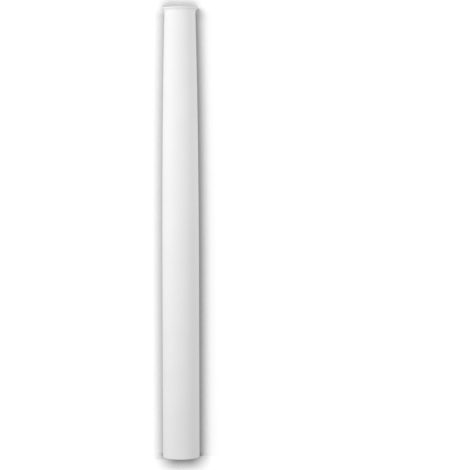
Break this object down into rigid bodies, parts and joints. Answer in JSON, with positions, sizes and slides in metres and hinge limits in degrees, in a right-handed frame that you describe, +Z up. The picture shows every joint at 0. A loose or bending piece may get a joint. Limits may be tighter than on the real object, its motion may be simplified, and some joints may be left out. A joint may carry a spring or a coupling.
{
  "type": "half column shaft",
  "caption": "Plain half-round column shaft with a flat back, a gentle taper and a thin collar at its head, made to stand against a wall between a base and a capital.",
  "frame": {"origin": "on the floor, in the middle of the rectangle that encloses the foot", "axes": "+Z up along the shaft, +Y towards the wall out of the flat back, -Y towards the room out of the round front, +X to the right seen from the room"},
  "size_m": [0.2, 0.1, 2.45],
  "materials": {
    "primed_foam": "matt white priming coat on rigid moulded foam"
  },
  "bodies": {
    "root": {"shaft": "primed_foam"}
  },
  "joints": []
}
